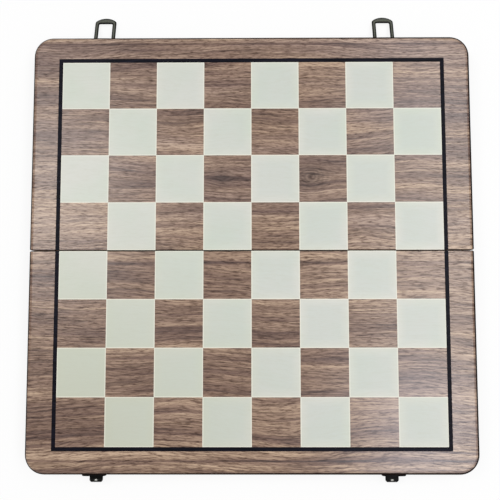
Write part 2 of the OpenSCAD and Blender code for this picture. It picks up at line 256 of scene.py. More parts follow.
slow = noise(grain, stretched(given["Place"], 0.006, 0.012), detail=1.0)
ripple = noise(grain, stretched(given["Place"], 0.04, 0.06), detail=3.0)
push = calc(grain, "MULTIPLY", calc(grain, "SUBTRACT", slow, 0.5), given["Wander"])
push = calc(grain, "MULTIPLY_ADD", calc(grain, "SUBTRACT", ripple, 0.5), ripple_mm, push)
pushed = vector_calc(grain, "ADD", given["Place"], vector_of(grain, Y=push))
bands = noise(grain, stretched(pushed, 0.004, 0.08), detail=3.0)
streaks = noise(grain, stretched(pushed, 0.009, 0.5), detail=4.0, roughness=0.85)
ring_ends = noise(grain, stretched(pushed, 0.009, 0.32), detail=1.0)
pores = noise(grain, stretched(pushed, 0.14, 1.1), detail=2.0, roughness=0.7)
fibres = noise(grain, stretched(pushed, 0.3, 5.0), detail=2.0, roughness=0.6)
off_line = calc(grain, "ABSOLUTE", calc(grain, "SUBTRACT", ring_ends, 0.5))
give(grain, result,
     Bands=span(grain, bands, 0.3, 0.7),
     Streaks=span(grain, streaks, 0.34, 0.66),
     Lines=span(grain, off_line, 0.01, 0.05, 1.0, 0.0),
     Pores=span(grain, pores, 0.45, 0.7),
     Fibres=span(grain, fibres, 0.35, 0.65))

# %% [markdown]
# ## Knots
# Round a knot the lines part and close again, like water round a stone. The group moves the place that
# the grain is read at: near the knot the distance across the grain is squeezed, so the lines bulge out.
# It also gives a mask that is 1 at the knot's heart, and the fine rings round it.

# %% Build the knot group
knot, given, result = new_group(
    "knot",
    {"Place": "vector", "Centre": "vector", "Reach": "vector", "Squeeze": "number", "Turns": "number"},
    {"Place": "vector", "Near": "number", "Rings": "number"})
ring_wobble = 6.0
offset = vector_calc(knot, "SUBTRACT", given["Place"], given["Centre"])
away = vector_calc(knot, "LENGTH", vector_calc(knot, "DIVIDE", offset, given["Reach"]))
near = bell(knot, away)
shift = calc(knot, "MULTIPLY", calc(knot, "MULTIPLY", axes(knot, offset)["Y"], near), given["Squeeze"])
wobble = calc(knot, "MULTIPLY", noise(knot, given["Place"], scale=0.15), ring_wobble)
phase = calc(knot, "MULTIPLY_ADD", away, given["Turns"], wobble)
give(knot, result,
     Place=vector_calc(knot, "SUBTRACT", given["Place"], vector_of(knot, Y=shift)),
     Near=near,
     Rings=calc(knot, "MULTIPLY_ADD", calc(knot, "SINE", phase), 0.5, 0.5))

# %% [markdown]
# ## Walnut as one colour group
# Walnut runs from tan to a purplish brown. The broad bands and the streaks choose the tone, and the ring
# lines, pores and fibres darken it. Parts of a sheet are greyer than the rest. A slow noise says where, and
# the Grey input says how much, because some sheets have more of it. The lacquer is a coat over the wood.
# It fills the pores only partly, so they are a little lower and have less gloss than the wood round them.

# %% Build the walnut group
walnut, given, result = new_group(
    "walnut",
    {"Place": "vector", "Wander": "number", "Tone": "number", "Dark": "number", "Grey": "number"},
    {"Colour": "colour", "Gloss": "number", "Height": "number"})
layers = use(walnut, grain, Place=given["Place"], Wander=given["Wander"])
tone = calc(walnut, "MULTIPLY_ADD", layers["Bands"], 0.55, given["Tone"])
tone = calc(walnut, "MULTIPLY_ADD", layers["Streaks"], 0.55, calc(walnut, "ADD", tone, 0.1))
colour = ramp(walnut, tone, [
    (0.0, tint(62, 44, 38)),
    (0.25, tint(95, 70, 61)),
    (0.5, tint(129, 101, 86)),
    (0.75, tint(165, 137, 115)),
    (1.0, tint(200, 172, 145))])
slow_noise = noise(walnut, vector_calc(walnut, "MULTIPLY", given["Place"], (0.006, 0.05, 0.05)))
grey_share = calc(walnut, "MULTIPLY", span(walnut, slow_noise, 0.4, 0.65), given["Grey"])
for share, shade in [
        (grey_share, tint(224, 226, 250)),
        (calc(walnut, "MULTIPLY", layers["Lines"], 0.6), tint(150, 132, 124)),
        (layers["Pores"], tint(138, 122, 118)),
        (calc(walnut, "MULTIPLY", layers["Fibres"], 0.4), tint(186, 178, 172)),
        (given["Dark"], tint(120, 104, 96))]:
    colour = blend(walnut, share, colour, shade, "MULTIPLY")
fine = calc(walnut, "MULTIPLY_ADD", layers["Streaks"], 0.2, calc(walnut, "MULTIPLY", layers["Fibres"], -0.3))
give(walnut, result,
     Colour=colour,
     Gloss=span(walnut, layers["Pores"], 0.0, 1.0, 1.0, 0.45),
     Height=calc(walnut, "SUBTRACT", fine, layers["Pores"]))

# %% [markdown]
# ## Starting a material
# Every finish on the box is one Principled BSDF with its own colour, roughness and bump.
# Object coordinates are the place on the piece in metres. Every piece sits at the origin, so one pattern
# runs on from piece to piece.

# %% Material helpers
def new_material(name, **plain):
    """A material, its tree, its shader, and the place on the piece in millimetres."""
    material = bpy.data.materials.new(name)
    material.use_nodes = True
    tree = material.node_tree
    shader = tree.nodes["Principled BSDF"]
    for label, value in plain.items():
        shader.inputs[label.replace("_", " ")].default_value = value
    place = put(tree, "ShaderNodeTexCoord").outputs["Object"]
    in_mm = put(tree, "ShaderNodeVectorMath", {"Vector": place, "Scale": 1 / MM}, operation="SCALE")
    return material, tree, shader, in_mm.outputs["Vector"]


def finish_with(tree, shader, height=None, depth=0.03, **varying):
    """Links what varies over the surface. The height is a share of the depth, in millimetres."""
    for label, value in varying.items():
        tree.links.new(value, shader.inputs[label.replace("_", " ")])
    if height:
        bump = put(tree, "ShaderNodeBump", {"Height": height, "Distance": depth * MM})
        tree.links.new(bump.outputs["Normal"], shader.inputs["Normal"])


def dress(material, *names):
    for name in names:
        slots = nodes[name].data.materials
        slots.clear()
        slots.append(material)


print("patterns are in steps of", MM, "m")

# %% [markdown]
# ## One sheet of veneer, wrapped over the edge
# Each tray has its own sheet of veneer, so the grain breaks at the seam but runs on through the squares.
# The sheet is wrapped over the rounded edge. A solid pattern would show end grain there, so the place is
# unrolled first: past the rounded edge, the drop below the face counts as distance across the grain.
# Noise alone would put light and dark anywhere. The bands that the eye knows a board by are written down
# instead, each as its middle, its half width and how much lighter or darker it is, and so are the knots. The
# light band where the back sheet turns over its far edge is a painted highlight.

# %% Unroll the sheet and add its bands and knots
edge_mm = 4.0


def unrolled(tree, at, drop):
    past_edge = span(tree, calc(tree, "ABSOLUTE", at["Y"]), end_y - edge_mm, end_y)
    outwards = calc(tree, "MULTIPLY", calc(tree, "SIGN", at["Y"]), past_edge)
    return calc(tree, "MULTIPLY_ADD", drop, outwards, at["Y"])


def banded(tree, across, bands):
    tone = 0.0
    for middle, half_width, lighter in bands:
        tone = calc(tree, "MULTIPLY_ADD", soft_band(tree, across, middle, half_width), lighter, tone)
    return tone


def knotted(tree, sheet, sheet_z, knots):
    """The place that the grain is read at, parted round each knot, and how dark the hearts are."""
    dark = 0.0
    for centre, reach, squeeze, turns, depth, ring_depth in knots:
        seen = use(tree, knot, Place=sheet, Centre=(*centre, sheet_z), Reach=(*reach, 1.0),
                   Squeeze=squeeze, Turns=turns)
        sheet = seen["Place"]
        ringed = calc(tree, "MULTIPLY_ADD", seen["Rings"], -ring_depth, depth)
        dark = calc(tree, "ADD", calc(tree, "MULTIPLY", seen["Near"], ringed), dark)
    return sheet, dark


print("the edge is rounded to", edge_mm, "mm")

# %% [markdown]
# ## Painted shade at the edges, and painted sheen at the right
# Shade is painted where the edge turns down and along the arris at the seam, and that is the thin dark
# outline seen from above. It starts a little lower on the left, where the outline is finer.
# The right of the board is painted paler and cooler towards its ends, most of all at the near one, as a
# sheen. A mix towards a paler colour would wash out the grain, so a little light is added instead, which
# keeps the streaks.

# %% Paint shade and sheen on a sheet
# Painted shade: the dark outline where the edge turns down, and along the seam.
edge_shade_colour = tint(28, 19, 16)
shade_start_left, shade_start_right = 0.6, 0.25
shade_end, shade_gone = 2.4, 4.0
arris_from, arris_to = 0.2, 0.7
# Painted sheen: a little light added on the right, towards the ends.
sheen_light = tint(134, 137, 148)
sheen_x = 140.0
sheen_half_width = 60.0


# How much painted shade lies on the rounded edge and along the seam.
def painted_shade_share(tree, at, drop):
    start = span(tree, at["X"], -190.0, 100.0, shade_start_left, shade_start_right)
    begun = span(tree, calc(tree, "SUBTRACT", drop, start), 0.0, 0.4)
    edge_share = calc(tree, "MULTIPLY", begun, span(tree, drop, shade_end, shade_gone, 1.0, 0.0))
    from_seam = calc(tree, "SUBTRACT", calc(tree, "ABSOLUTE", at["Y"]), seam_half)
    return calc(tree, "MAXIMUM", edge_share, span(tree, from_seam, arris_from, arris_to, 0.9, 0.0))


# How much painted sheen lies at the right, towards the ends.
def painted_sheen_share(tree, at, most):
    near_end = span(tree, calc(tree, "ABSOLUTE", at["Y"]), 70.0, 130.0, 0.1, 1.0)
    near_right = soft_band(tree, at["X"], sheen_x, sheen_half_width)
    return calc(tree, "MULTIPLY", near_right, calc(tree, "MULTIPLY", near_end, most))


print("palest", sheen_x, "mm right of the middle")

# %% [markdown]
# ## The walnut face of each tray
# The lacquer is a coat over the wood itself, so the wood's own reflection is turned off, and the coat is
# missing where the shade is painted. Both sheets are the same material function with other numbers. The back
# sheet is greyer and has two knots, and the front one has more painted sheen at its right.

# %% Dress the veneer
LACQUERED = {"Roughness": 0.5, "Specular_IOR_Level": 0.0, "Coat_Roughness": 0.27}


def veneer_material(name, sheet_z, grey, sheen_amount, bands, knots=()):
    material, tree, shader, place = new_material(name, **LACQUERED)
    at = axes(tree, place)
    drop = calc(tree, "SUBTRACT", face_z, at["Z"])
    across = unrolled(tree, at, drop)
    sheet, knot_dark = knotted(tree, vector_of(tree, X=at["X"], Y=across, Z=sheet_z), sheet_z, knots)
    dark = calc(tree, "ADD", span(tree, drop, 1.0, edge_mm, 0.0, 0.75), knot_dark)
    wood = use(tree, walnut, Place=sheet, Wander=30.0, Tone=banded(tree, across, bands), Dark=dark, Grey=grey)
    # Painted shade at the edges and seam, and painted sheen at the right.
    shaded = painted_shade_share(tree, at, drop)
    colour = blend(tree, painted_sheen_share(tree, at, sheen_amount), wood["Colour"], sheen_light, "ADD")
    colour = blend(tree, shaded, colour, edge_shade_colour)
    gloss = calc(tree, "MULTIPLY", calc(tree, "SUBTRACT", 1.0, shaded), wood["Gloss"])
    finish_with(tree, shader, wood["Height"], Base_Color=colour, Coat_Weight=gloss)
    return material


# Each band: its middle across the board, its half width, and how much lighter it is
front_bands = [
    (-4, 6, 0.2), (-10.5, 1.5, -0.35), (-60, 40, -0.08),
    (-173, 3, 0.15), (-178, 0.8, -0.4), (-182.5, 2, 0.2), (-187, 2, -0.1)]
# The last back band, lighter where the face turns over the far edge, is a painted highlight on that rounded
# edge.
back_bands = [(21, 18, 0.18), (64, 16, -0.06), (173, 4, -0.05), (183, 0.7, -0.35), (187.3, 2.8, 0.42)]

# Each knot: its centre, its reach along and across, the squeeze, the turns, and how dark it and its rings are
back_knots = [
    ((51.0, 64.5), (15, 11), 0.7, 26.0, 0.75, 0.35),
    ((-25.0, 63.5), (11, 7), 0.55, 9.0, 0.6, 0.15)]

dress(veneer_material("walnut_front", sheet_z=7.0, grey=0.15, sheen_amount=0.4, bands=front_bands),
      "front_walnut_veneer")
dress(veneer_material("walnut_back", sheet_z=31.0, grey=0.55, sheen_amount=0.12, bands=back_bands, knots=back_knots),
      "back_walnut_veneer")
print("veneer over", round(2 * end_y), "mm, front to back")

# %% [markdown]
# ## Cream squares
# They are sprayed on through a mask, so the pores of the veneer still show as faint lines, and a thin
# ridge of paint along the mask is a little thicker and warmer. Inside the ridge the coat is thinner and
# cooler, more so to the right. The whole cream is painted darker and a little yellower towards the near
# left corner, as painted shade.
# The distance to the nearest side of the square comes from how far a place is through its square, which
# is the same sum for all of them.

# %% Dress the cream squares
shade_corner = (-170.0, -190.0, 0.0)
ridge_from, ridge_to = 0.35, 0.9
thin_from, thin_to = 1.0, 8.0


def from_side(tree, place, start):
    """Distance in millimetres to the nearest side of a square, where the first one starts at start."""
    through = calc(tree, "FRACT", calc(tree, "DIVIDE", calc(tree, "SUBTRACT", place, start), square))
    nearest = calc(tree, "MINIMUM", through, calc(tree, "SUBTRACT", 1.0, through))
    return calc(tree, "MULTIPLY", nearest, square)


cream, tree, shader, place = new_material("cream_inlay", Roughness=0.42)
at = axes(tree, place)
inwards = calc(tree, "MINIMUM", from_side(tree, at["X"], squares_low.x / MM),
               from_side(tree, calc(tree, "ABSOLUTE", at["Y"]), seam_half))
ridge = span(tree, inwards, ridge_from, ridge_to, 1.0, 0.0)
thin_share = span(tree, at["X"], -150.0, 60.0, 0.1, 0.5)
thin = calc(tree, "MULTIPLY", span(tree, inwards, thin_from, thin_to), thin_share)
# Painted shade: the cream darker and a little yellower towards the near left corner.
from_corner = vector_calc(tree, "LENGTH", vector_calc(tree, "SUBTRACT", place, shade_corner))
corner_shade = span(tree, from_corner, 60.0, 240.0, 1.0, 0.0)
layers = use(tree, grain, Place=place, Wander=45.0)
lines = calc(tree, "MULTIPLY_ADD", layers["Pores"], 0.6, calc(tree, "MULTIPLY", layers["Streaks"], 0.4))
cloud = noise(tree, place, scale=0.02)
colour = ramp(tree, cloud, [(0.35, tint(196, 203, 190)), (0.65, tint(205, 205, 197))])
colour = blend(tree, corner_shade, colour, tint(187, 190, 172))
colour = blend(tree, thin, colour, tint(184, 192, 188))
colour = blend(tree, calc(tree, "MULTIPLY", lines, 0.3), colour, tint(180, 180, 163))
colour = blend(tree, calc(tree, "MULTIPLY", ridge, 0.65), colour, tint(230, 227, 212))
height = calc(tree, "SUBTRACT", calc(tree, "MULTIPLY", ridge, 1.5), layers["Pores"])
finish_with(tree, shader, height, depth=0.02, Base_Color=colour)
dress(cream, "front_light_squares", "back_light_squares")
print("cream squares of", round(square, 1), "mm")

# %% [markdown]
# ## The black line, the backgammon points and the lining
# The line is the same paint in black, thin enough for the grain to show as paler dashes.
# The points inside are painted the same way. The lining under them is a veneer with the walnut's finish.

# %% Dress the line, the points and the lining
def painted_material(name, body, thin, share):
    """Paint over veneer: body is its own colour, and thin shows where the grain comes through."""
    material, tree, shader, place = new_material(name, Roughness=0.42, Specular_IOR_Level=0.06)
    layers = use(tree, grain, Place=place, Wander=45.0)
    worn = calc(tree, "MULTIPLY", layers["Streaks"], layers["Streaks"])
    colour = blend(tree, calc(tree, "MULTIPLY", worn, share), body, thin)
    height = calc(tree, "MULTIPLY", layers["Pores"], -1.0)
    finish_with(tree, shader, height, depth=0.02, Base_Color=colour)
    return material


dress(painted_material("black_inlay", tint(1, 1, 6), tint(52, 50, 70), 0.3),
      "front_border_line", "back_border_line")
dress(painted_material("black_point", tint(24, 22, 24), tint(66, 56, 50), 0.3),
      "front_dark_points", "back_dark_points")
dress(painted_material("cream_point", tint(208, 204, 184), tint(176, 166, 138), 0.5),
      "front_light_points", "back_light_points")

lining, tree, shader, place = new_material("lining_veneer", **LACQUERED)
wood = use(tree, walnut, Place=place, Wander=30.0, Tone=0.12, Dark=0.0, Grey=0.3)
finish_with(tree, shader, wood["Height"], Base_Color=wood["Colour"], Coat_Weight=wood["Gloss"])
dress(lining, "front_lining", "back_lining")
print("line, points and lining dressed")

# %% [markdown]
# ## Rails and the board
# The rails are solid walnut, stained darker. Their grain runs along each rail, so the side rails swap X
# and Y before the grain is read. The board under the veneer is birch plywood, and only its layered
# edge shows, at the seam.

# %% Dress the rails and the board
ply_mm = 1.25


def named(*endings):
    """The names of the pieces that end in one of these."""
    return [name for name in nodes if name.endswith(endings)]


def rail_material(name, turned):
    material, tree, shader, place = new_material(name, **LACQUERED)
    if turned:
        at = axes(tree, place)
        place = vector_of(tree, X=at["Y"], Y=at["X"], Z=at["Z"])
    wood = use(tree, walnut, Place=place, Wander=18.0, Tone=-0.12, Dark=0.75, Grey=0.3)
    finish_with(tree, shader, wood["Height"], Base_Color=wood["Colour"], Coat_Weight=wood["Gloss"])
    return material


dress(rail_material("walnut_rail", False), *named("end_rail", "hinge_rail"))
dress(rail_material("walnut_side_rail", True), *named("left_rail", "right_rail"))

plywood, tree, shader, place = new_material("birch_plywood", Roughness=0.7)
layer = calc(tree, "FLOOR", calc(tree, "DIVIDE", axes(tree, place)["Z"], ply_mm))
odd = calc(tree, "MODULO", layer, 2.0)
layers = use(tree, grain, Place=place, Wander=10.0)
colour = blend(tree, odd, tint(190, 158, 118), tint(158, 122, 86))
colour = blend(tree, calc(tree, "MULTIPLY", layers["Streaks"], 0.4), colour, tint(132, 98, 68))
finish_with(tree, shader, Base_Color=colour)
dress(plywood, "front_core_board", "back_core_board")
print("rails and board dressed")

# %% [markdown]
# ## Worn edges
# Plating rubs through along edges. The Bevel node gives the normal that a rounded edge would have, and
# where that differs from the real normal there is an edge. The group turns the difference into a mask.

# %% Build the worn edge group
worn_edge, given, result = new_group("worn edge", {"Radius": "number"}, {"Mask": "number"})
rounded = put(worn_edge, "ShaderNodeBevel", {"Radius": given["Radius"]}, samples=4).outputs["Normal"]
true_normal = put(worn_edge, "ShaderNodeNewGeometry").outputs["Normal"]
same = vector_calc(worn_edge, "DOT_PRODUCT", rounded, true_normal)
give(worn_edge, result, Mask=span(worn_edge, same, 0.995, 0.9))

# %% [markdown]
# ## Dark bronze hardware
# The latches and hinges are steel with a blackened bronze plating, worn back along the edges. Where a face
# looks squarely to the part's own front it is painted lighter, a painted reflection mottled like worn
# plating, and on its rounded sides it stays nearly black. Each kind of part says which way its front is, so
# on a crowned face only the very crown is painted light. The bill of each catch has a painted highlight,
# a small bright spot on its lip.

# %% Make the bronze
edge_wear_mm = 0.3
edge_wear = 0.35
# Painted highlight: a small bright spot on the lip of each catch's bill.
glint_out = 6.9
glint_half_x, glint_half_y = 0.9, 0.5
glint_colour = tint(215, 214, 208)


def bronze_material(name, plating, rubbed_and_lit, front, glint_spots=()):
    material, tree, shader, place = new_material(name, Metallic=1.0)
    at = axes(tree, place)
    edge = calc(tree, "MULTIPLY", use(tree, worn_edge, Radius=edge_wear_mm * MM)["Mask"], edge_wear)
    normal = put(tree, "ShaderNodeTexCoord").outputs["Normal"]
    square_on = calc(tree, "ABSOLUTE", vector_calc(tree, "DOT_PRODUCT", normal, front))
    blotch = noise(tree, place, scale=0.9, detail=4.0, roughness=0.6)
    scratch = noise(tree, vector_calc(tree, "MULTIPLY", place, (0.4, 5.0, 5.0)))
    # Painted reflection: lighter where the surface looks squarely to the front, mottled by a noise.
    crown = span(tree, square_on, 0.988, 0.9995)
    crown_reflection = calc(tree, "MULTIPLY", crown, span(tree, blotch, 0.3, 0.6, 0.6, 1.0))
    colour = blend(tree, calc(tree, "MAXIMUM", crown_reflection, edge), plating, rubbed_and_lit)
    # Painted highlight on each bill's lip.
    for x, y in glint_spots:
        glint = calc(tree, "MULTIPLY", soft_band(tree, at["X"], x, glint_half_x),
                    soft_band(tree, at["Y"], y, glint_half_y))
        colour = blend(tree, calc(tree, "MULTIPLY", glint, 0.6), colour, glint_colour)
    rough = span(tree, blotch, 0.3, 0.7, 0.28, 0.42)
    rough = calc(tree, "ADD", rough, span(tree, scratch, 0.3, 0.7, 0.0, 0.1))
    finish_with(tree, shader, scratch, depth=0.01, Base_Color=colour, Roughness=rough)
    return material


bill_glints = [(pivots[side].x, -end_y - glint_out) for side in SIDES]
flat_bronze = bronze_material("flat_bronze", tint(30, 30, 27), tint(90, 89, 80), (0, 0, 1))
wall_bronze = bronze_material("wall_bronze", tint(30, 30, 27), tint(84, 82, 74), (0, 1, 0))
black_bronze = bronze_material("black_bronze", tint(16, 16, 16), tint(34, 34, 33), (0, 1, 0), bill_glints)
dress(flat_bronze, *named("leaf", "pin", "hinge_screws"))
dress(wall_bronze, "left_hasp_plate", "right_hasp_plate", "hasp_screws")
dress(black_bronze, "left_catch", "right_catch", "catch_screws")
print("hardware dressed")

# %% [markdown]
# ## Stamped metal parts
# The latches are stamped from strip, bent and curled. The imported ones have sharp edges, so new meshes with
# softly crowned faces take their place. One tool makes them all: a ring of edges is drawn through a row of
# stations, and each station says where the strip's section is, how wide and how thick. A bend, a curl,
# a rounded corner and a screw's head are then all just rows of stations.
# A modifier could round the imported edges, but it wouldn't crown the faces or open the curl.
# The first ring's edges are listed in one fixed order, so that every run makes the same mesh.

# %% Draw a strip through stations
X_AXIS = Vector((1, 0, 0))


def station(centre, across, through):
    """Where a section goes. across is half the strip's width there, and through is half its thickness."""
    along = across.cross(through).normalized()
    return Matrix.Translation(centre) @ Matrix((across, through, along)).transposed().to_4x4()


def sweep(mesh, stations, squareness=2.0, segments=24):
    """A closed strip. The section is an ellipse at squareness 2 and nearly a rectangle at 12."""
    ring = bmesh.ops.create_circle(mesh, segments=segments, radius=1)["verts"]
    for vert in ring:
        vert.co /= (abs(vert.co.x) ** squareness + abs(vert.co.y) ** squareness) ** (1 / squareness)
    edges = list(dict.fromkeys(edge for vert in ring for edge in vert.link_edges))
    bmesh.ops.transform(mesh, matrix=stations[0], verts=ring)
    caps = bmesh.ops.edgeloop_fill(mesh, edges=edges)["faces"]
    for before, after in zip(stations, stations[1:]):
        grown = bmesh.ops.extrude_edge_only(mesh, edges=edges)["geom"]
        verts = [part for part in grown if isinstance(part, bmesh.types.BMVert)]
        edges = [part for part in grown if isinstance(part, bmesh.types.BMEdge)
                 and part.verts[0] in verts and part.verts[1] in verts]
        bmesh.ops.transform(mesh, matrix=after @ before.inverted(), verts=verts)
    return caps + bmesh.ops.edgeloop_fill(mesh, edges=edges)["faces"]


print("strips are drawn through stations")

# %% [markdown]
# ## From a mesh to a piece
# The strips are worked out in millimetres and made into pieces in one place: doubles are merged, the faces
# are turned outwards, and the mesh is scaled to metres. The object itself stays at the origin. Faces that
# meet at a small angle are shaded smooth, and the rest keep their edge.

# %% Keep a mesh as a piece
same_point_mm = 0.001


def half_width(name):
    low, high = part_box(name)
    return (high.x - low.x) / 2 / MM


def keep_piece(mesh, name, body, replaced, material, sharp=35.0):
    """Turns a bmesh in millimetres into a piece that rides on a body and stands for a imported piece."""
    bmesh.ops.remove_doubles(mesh, verts=mesh.verts, dist=same_point_mm)
    bmesh.ops.scale(mesh, vec=(MM, MM, MM), verts=mesh.verts)
    bmesh.ops.recalc_face_normals(mesh, faces=mesh.faces)
    data = bpy.data.meshes.new(name)
    mesh.to_mesh(data)
    mesh.free()
    data.shade_smooth()
    data.set_sharp_from_angle(angle=math.radians(sharp))
    data.materials.append(material)
    piece = bpy.data.objects.new(name, data)
    bpy.context.scene.collection.objects.link(piece)
    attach(piece, body)
    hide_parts(replaced)
    return piece


print("a bail is", round(2 * half_width("left_bail"), 1), "mm wide")

# %% [markdown]
# ## The outline of a bail
# A bail is one stamped loop. Its legs are of one width, and its end is wider and arched. Each station
# runs from the window's edge to the outer edge, so both outlines can differ. At a corner the stations fan
# out from the middle of the window's corner, and each ends where it meets the side or the arch first.
# The two distances are blended a little, which rounds the shoulder.
# The legs thicken at their feet, where they are closed round the bar that the bail turns on.

# %% Lay out the stations of a bail
bail_half = half_width("left_bail")
bail_leg = 3.5
bail_thick = 1.4
bail_window = 20.1
bail_length = 26.3
window_corner = 1.2
arch_rise = 4.2
arch_r = (bail_half ** 2 + arch_rise ** 2) / (2 * arch_rise)
arch_centre = Vector((0, bail_length - arch_r))
leg_inside = bail_half - bail_leg
corner = Vector((leg_inside - window_corner, bail_window - window_corner))
fan_steps = 10
shoulder_power = 14
nearly_upright = 0.01


def fan(turn):
    """A station at the corner. Its ray is cut off by the side or by the arch, whichever is nearer."""
    ray = Vector((math.cos(turn), math.sin(turn)))
    to_side = (bail_half - corner.x) / max(ray.x, nearly_upright)
    along = (corner - arch_centre).dot(ray)
    to_arch = math.sqrt(along ** 2 - (corner - arch_centre).length_squared + arch_r ** 2) - along
    reach = (to_side ** -shoulder_power + to_arch ** -shoulder_power) ** (-1 / shoulder_power)
    return tuple(corner + window_corner * ray), tuple(corner + reach * ray), bail_thick


def over_window(x):
    return (x, bail_window), (x, arch_centre.y + math.sqrt(arch_r ** 2 - x ** 2)), bail_thick


# Height above the pivot and thickness, up one leg
foot = [(-0.95, 0.5), (-0.7, 1.4), (0, 2), (1, 1.8)]
leg = foot + [(y, bail_thick) for y in (2.2, 8, corner.y)]
half_loop = [((leg_inside, y), (bail_half, y), thick) for y, thick in leg]
half_loop += [fan(math.radians(90 * step / fan_steps)) for step in range(1, fan_steps + 1)]
half_loop += [over_window(share * corner.x) for share in (0.7, 0.35)]
mirrored = [((-a[0], a[1]), (-b[0], b[1]), thick) for a, b, thick in reversed(half_loop)]
whole_loop = half_loop + [over_window(0)] + mirrored
print("a bail has", len(whole_loop), "stations")

# %% [markdown]
# ## The bails
# A bail lies free on its bar and leans down until it nearly meets the table, so its angle comes from the
# height of the pivot. The bronze is told that angle, because a bail's front is its own flat face.

# %% Make the bails
table_gap = 0.3
bar_r = 1
bar_end_r = 0.7
bar_bevel = 0.2
table_drop = pivots["left"].z - table_z - bail_thick / 2 - table_gap
bail_angle = math.asin(table_drop / bail_length)
bail_bronze = bronze_material("bail_bronze", tint(18, 18, 16), tint(96, 98, 90),
                              (0, math.sin(bail_angle), math.cos(bail_angle)))
dress(bail_bronze, "left_bail", "right_bail")


def make_bail(side):
    mesh = bmesh.new()
    loop = []
    for inner, outer, thick in whole_loop:
        a, b = Vector((*inner, 0)), Vector((*outer, 0))
        loop.append(station((a + b) / 2, (b - a) / 2, Vector((0, 0, thick / 2))))
    sweep(mesh, loop, squareness=2.8)
    right_end = [(bail_half - bar_bevel, bar_r), (bail_half, bar_end_r)]
    left_end = [(-x, r) for x, r in reversed(right_end)]
    sweep(mesh, [station(X_AXIS * x, Vector((0, r, 0)), Vector((0, 0, r))) for x, r in left_end + right_end])
    hang = Matrix.Translation(pivots[side]) @ Matrix.Rotation(-bail_angle, 4, "X")
    bmesh.ops.transform(mesh, matrix=hang, verts=mesh.verts)
    return keep_piece(mesh, side + "_bail_loop", side + "_bail", side + "_bail", bail_bronze)


bails = [make_bail(side) for side in SIDES]
print("bails hang at", round(math.degrees(bail_angle), 1), "degrees")
print("a bail has", len(bails[0].data.polygons), "faces")

# %% [markdown]
# ## Tools for the catches and hasp plates
# Both are drawn as a path on the wall. Each step gives the distance out from the wall, the height, half
# the width, the thickness and the angle that the strip's back faces: 180 is flat on the wall, 270 level.
# A plate is such a path with rounded corners at both ends, and a bend or a curl is a path round an arc.

# %% Paths for plates and bends
CORNER_TURNS = [math.radians(a) for a in (8, 30, 52, 74, 90)]


def plate(top, bottom, half, r, thick):
    """Steps down a flat plate. Close steps at both ends round its corners."""
    rounding = [(r * (1 - math.cos(turn)), half - r + r * math.sin(turn)) for turn in CORNER_TURNS]
    upper = [(thick / 2, top - inwards, wide, thick, 180) for inwards, wide in rounding]
    lower = [(thick / 2, bottom + inwards, wide, thick, 180) for inwards, wide in rounding]
    return upper + lower[::-1]


def curved(centre_out, centre_z, r, start, stop, count, half, thick):
    """Steps round an arc. The angle is taken from straight out, and the strip faces the middle."""
    made = []
    for k in range(count + 1):
        angle = start + (stop - start) * k / count
        turn = math.radians(angle)
        made.append((centre_out + r * math.cos(turn), centre_z + r * math.sin(turn), half, thick, angle))
    return made


def make_strip(name, body, replaced, x, facing, path, material):
    mesh = bmesh.new()
    rows = []
    for out, z, half, thick, angle in path:
        turn = math.radians(angle)
        inwards = Vector((0, -facing * math.cos(turn), -math.sin(turn)))
        rows.append(station(Vector((x, facing * (end_y + out), z)), X_AXIS * half, inwards * thick / 2))
    sweep(mesh, rows, squareness=12.0)
    return keep_piece(mesh, name, body, replaced, material)


print("corners are rounded in", len(CORNER_TURNS), "steps")

# %% [markdown]
# ## The catch
# The catch comes down the wall, narrows, bends out into a bill and ends in a lip that turns up, which keeps
# the bail from sliding off. The corners of the lip are rounded as the plate's are: near its end, the width
# follows a quarter circle.

# %% Lay out the catch
catch_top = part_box("left_catch")[1].z / MM
catch_half = half_width("left_catch")
catch_thick = 1.5
bill_half = 5.7
bill_flat = 2.6
bill_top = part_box("left_catch")[0].z / MM + catch_thick
plate_end = bill_top + 3.5
bend_r = 1
lip_r = 6
lip_end = 300
lip_corner = 2
widest_cut = 1.9

catch_path = plate(catch_top, plate_end, catch_half, r=2, thick=catch_thick)
# The shoulder, where the plate narrows to the bill
catch_path += [(catch_thick / 2, plate_end - 0.15, 6.1, catch_thick, 180),
               (catch_thick / 2, plate_end - 0.6, bill_half, catch_thick, 180)]
bend_out = catch_thick + bend_r
catch_path += curved(bend_out, bill_top + bend_r, bend_r + catch_thick / 2, 180, 270, 6,
                     bill_half, catch_thick)
lip_middle_r = lip_r + catch_thick / 2
lip = curved(bend_out + bill_flat, bill_top + lip_r, lip_middle_r, 270, lip_end, 10, bill_half, catch_thick)
for out, z, half, thick, angle in lip:
    to_end = math.radians(lip_end - angle) * lip_middle_r
    cut = min(max(0, lip_corner - to_end), widest_cut)
    catch_path.append((out, z, half - lip_corner + math.sqrt(lip_corner ** 2 - cut ** 2), thick, angle))
print("a catch has", len(catch_path), "stations")

# %% [markdown]
# ## The hasp plate
# The hasp plate comes down the wall, narrows to a tongue, and thins as the tongue curls round the bar of
# the bail. The curl is left a little open, as a rolled one is.

# %% Lay out the hasp plate and make both
hasp_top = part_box("left_hasp_plate")[1].z / MM
hasp_half = half_width("left_hasp_plate")
hasp_thick = 1.2
tongue_half = 5.6
curl_thick = 0.8
curl_inside = 1.08
curl_start = 165
curl_turn = 310
pivot_out = pivots["left"].y - end_y
pivot_z = pivots["left"].z
wing_z = pivot_z + curl_inside + curl_thick + 0.6

hasp_path = plate(hasp_top, wing_z, hasp_half, r=1.5, thick=hasp_thick)
